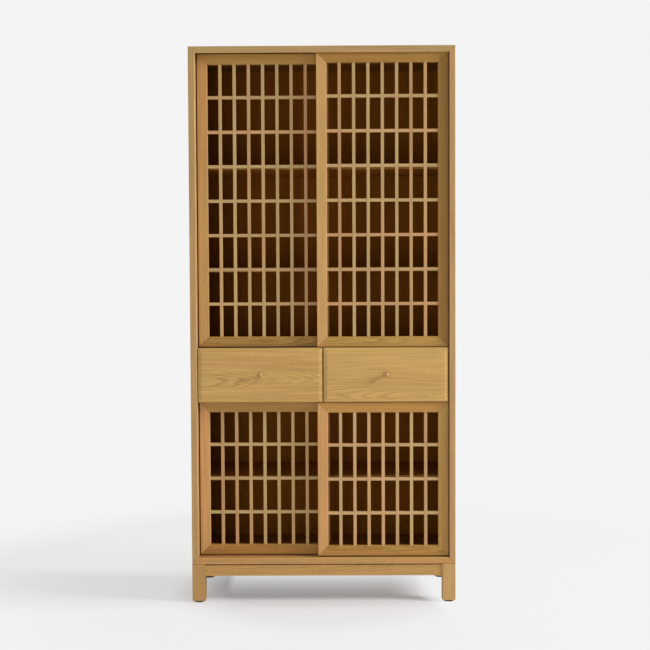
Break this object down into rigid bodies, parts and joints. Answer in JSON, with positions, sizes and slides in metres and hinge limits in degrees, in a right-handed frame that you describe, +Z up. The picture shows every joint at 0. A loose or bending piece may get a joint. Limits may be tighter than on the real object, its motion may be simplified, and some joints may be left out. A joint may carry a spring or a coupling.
{
  "type": "sliding door kitchen cabinet",
  "caption": "Tall oak kitchen cabinet with sliding lattice doors above and below a row of drawers, on a low open base.",
  "frame": {"origin": "on the floor, under the middle of the whole cabinet with its knobs", "axes": "+Z up, -Y out of the doors and drawers, +X to the right of someone who faces them"},
  "size_m": [1.016, 0.452, 2.132],
  "materials": {
    "oak_upright": "satin oil on oak, grain upright",
    "oak_crosswise": "satin oil on oak, grain across the width",
    "oak_lengthwise": "satin oil on oak, grain from front to back",
    "oak_lattice": "satin oil on slim oak bars",
    "oak_drawer_front": "satin oil on flat-sawn oak with an arched grain",
    "oak_turned": "satin oil on turned oak",
    "oak_inside": "matt oil on oak",
    "oak_back": "matt oak veneer",
    "glide": "matt dark brown",
    "steel": "zinc plated"
  },
  "bodies": {
    "cabinet": {"base_apron_front": "oak_crosswise", "base_apron_left": "oak_lengthwise", "base_apron_rear": "oak_crosswise", "base_apron_right": "oak_lengthwise", "base_corner_blocks": "oak_crosswise", "base_screws": "steel", "bottom_panel": "oak_crosswise", "case_side_left": "oak_upright", "case_side_right": "oak_upright", "drawer_divider": "oak_lengthwise", "leg_front_left": "oak_upright", "leg_front_right": "oak_upright", "leg_glides": "glide", "leg_rear_left": "oak_upright", "leg_rear_right": "oak_upright", "lower_back_panel": "oak_back", "lower_deck": "oak_crosswise", "lower_shelf": "oak_inside", "shelf_pins": "steel", "top_panel": "oak_crosswise", "upper_back_panel": "oak_back", "upper_deck": "oak_crosswise", "upper_shelf_high": "oak_inside", "upper_shelf_low": "oak_inside"},
    "upper_left_door": {"upper_left_door_bottom_rail": "oak_crosswise", "upper_left_door_lattice": "oak_lattice", "upper_left_door_stile_left": "oak_upright", "upper_left_door_stile_right": "oak_upright", "upper_left_door_top_rail": "oak_crosswise"},
    "upper_right_door": {"upper_right_door_bottom_rail": "oak_crosswise", "upper_right_door_lattice": "oak_lattice", "upper_right_door_stile_left": "oak_upright", "upper_right_door_stile_right": "oak_upright", "upper_right_door_top_rail": "oak_crosswise"},
    "lower_left_door": {"lower_left_door_bottom_rail": "oak_crosswise", "lower_left_door_lattice": "oak_lattice", "lower_left_door_stile_left": "oak_upright", "lower_left_door_stile_right": "oak_upright", "lower_left_door_top_rail": "oak_crosswise"},
    "lower_right_door": {"lower_right_door_bottom_rail": "oak_crosswise", "lower_right_door_lattice": "oak_lattice", "lower_right_door_stile_left": "oak_upright", "lower_right_door_stile_right": "oak_upright", "lower_right_door_top_rail": "oak_crosswise"},
    "left_drawer": {"left_drawer_box_back": "oak_inside", "left_drawer_box_bottom": "oak_inside", "left_drawer_box_front": "oak_inside", "left_drawer_box_side_left": "oak_lengthwise", "left_drawer_box_side_right": "oak_lengthwise", "left_drawer_front": "oak_drawer_front", "left_drawer_knob": "oak_turned", "left_drawer_knob_screw": "steel"},
    "right_drawer": {"right_drawer_box_back": "oak_inside", "right_drawer_box_bottom": "oak_inside", "right_drawer_box_front": "oak_inside", "right_drawer_box_side_left": "oak_lengthwise", "right_drawer_box_side_right": "oak_lengthwise", "right_drawer_front": "oak_drawer_front", "right_drawer_knob": "oak_turned", "right_drawer_knob_screw": "steel"}
  },
  "joints": [
    {"name": "upper_left_door_slide", "type": "slide", "parent": "cabinet", "child": "upper_left_door", "axis": [1, 0, 0], "range_m": [-0.003, 0.4575]},
    {"name": "upper_right_door_slide", "type": "slide", "parent": "cabinet", "child": "upper_right_door", "axis": [-1, 0, 0], "range_m": [0, 0.4605]},
    {"name": "lower_left_door_slide", "type": "slide", "parent": "cabinet", "child": "lower_left_door", "axis": [1, 0, 0], "range_m": [-0.003, 0.4575]},
    {"name": "lower_right_door_slide", "type": "slide", "parent": "cabinet", "child": "lower_right_door", "axis": [-1, 0, 0], "range_m": [0, 0.4605]},
    {"name": "left_drawer_slide", "type": "slide", "parent": "cabinet", "child": "left_drawer", "axis": [0, -1, 0], "range_m": [0, 0.32]},
    {"name": "right_drawer_slide", "type": "slide", "parent": "cabinet", "child": "right_drawer", "axis": [0, -1, 0], "range_m": [0, 0.32]}
  ]
}
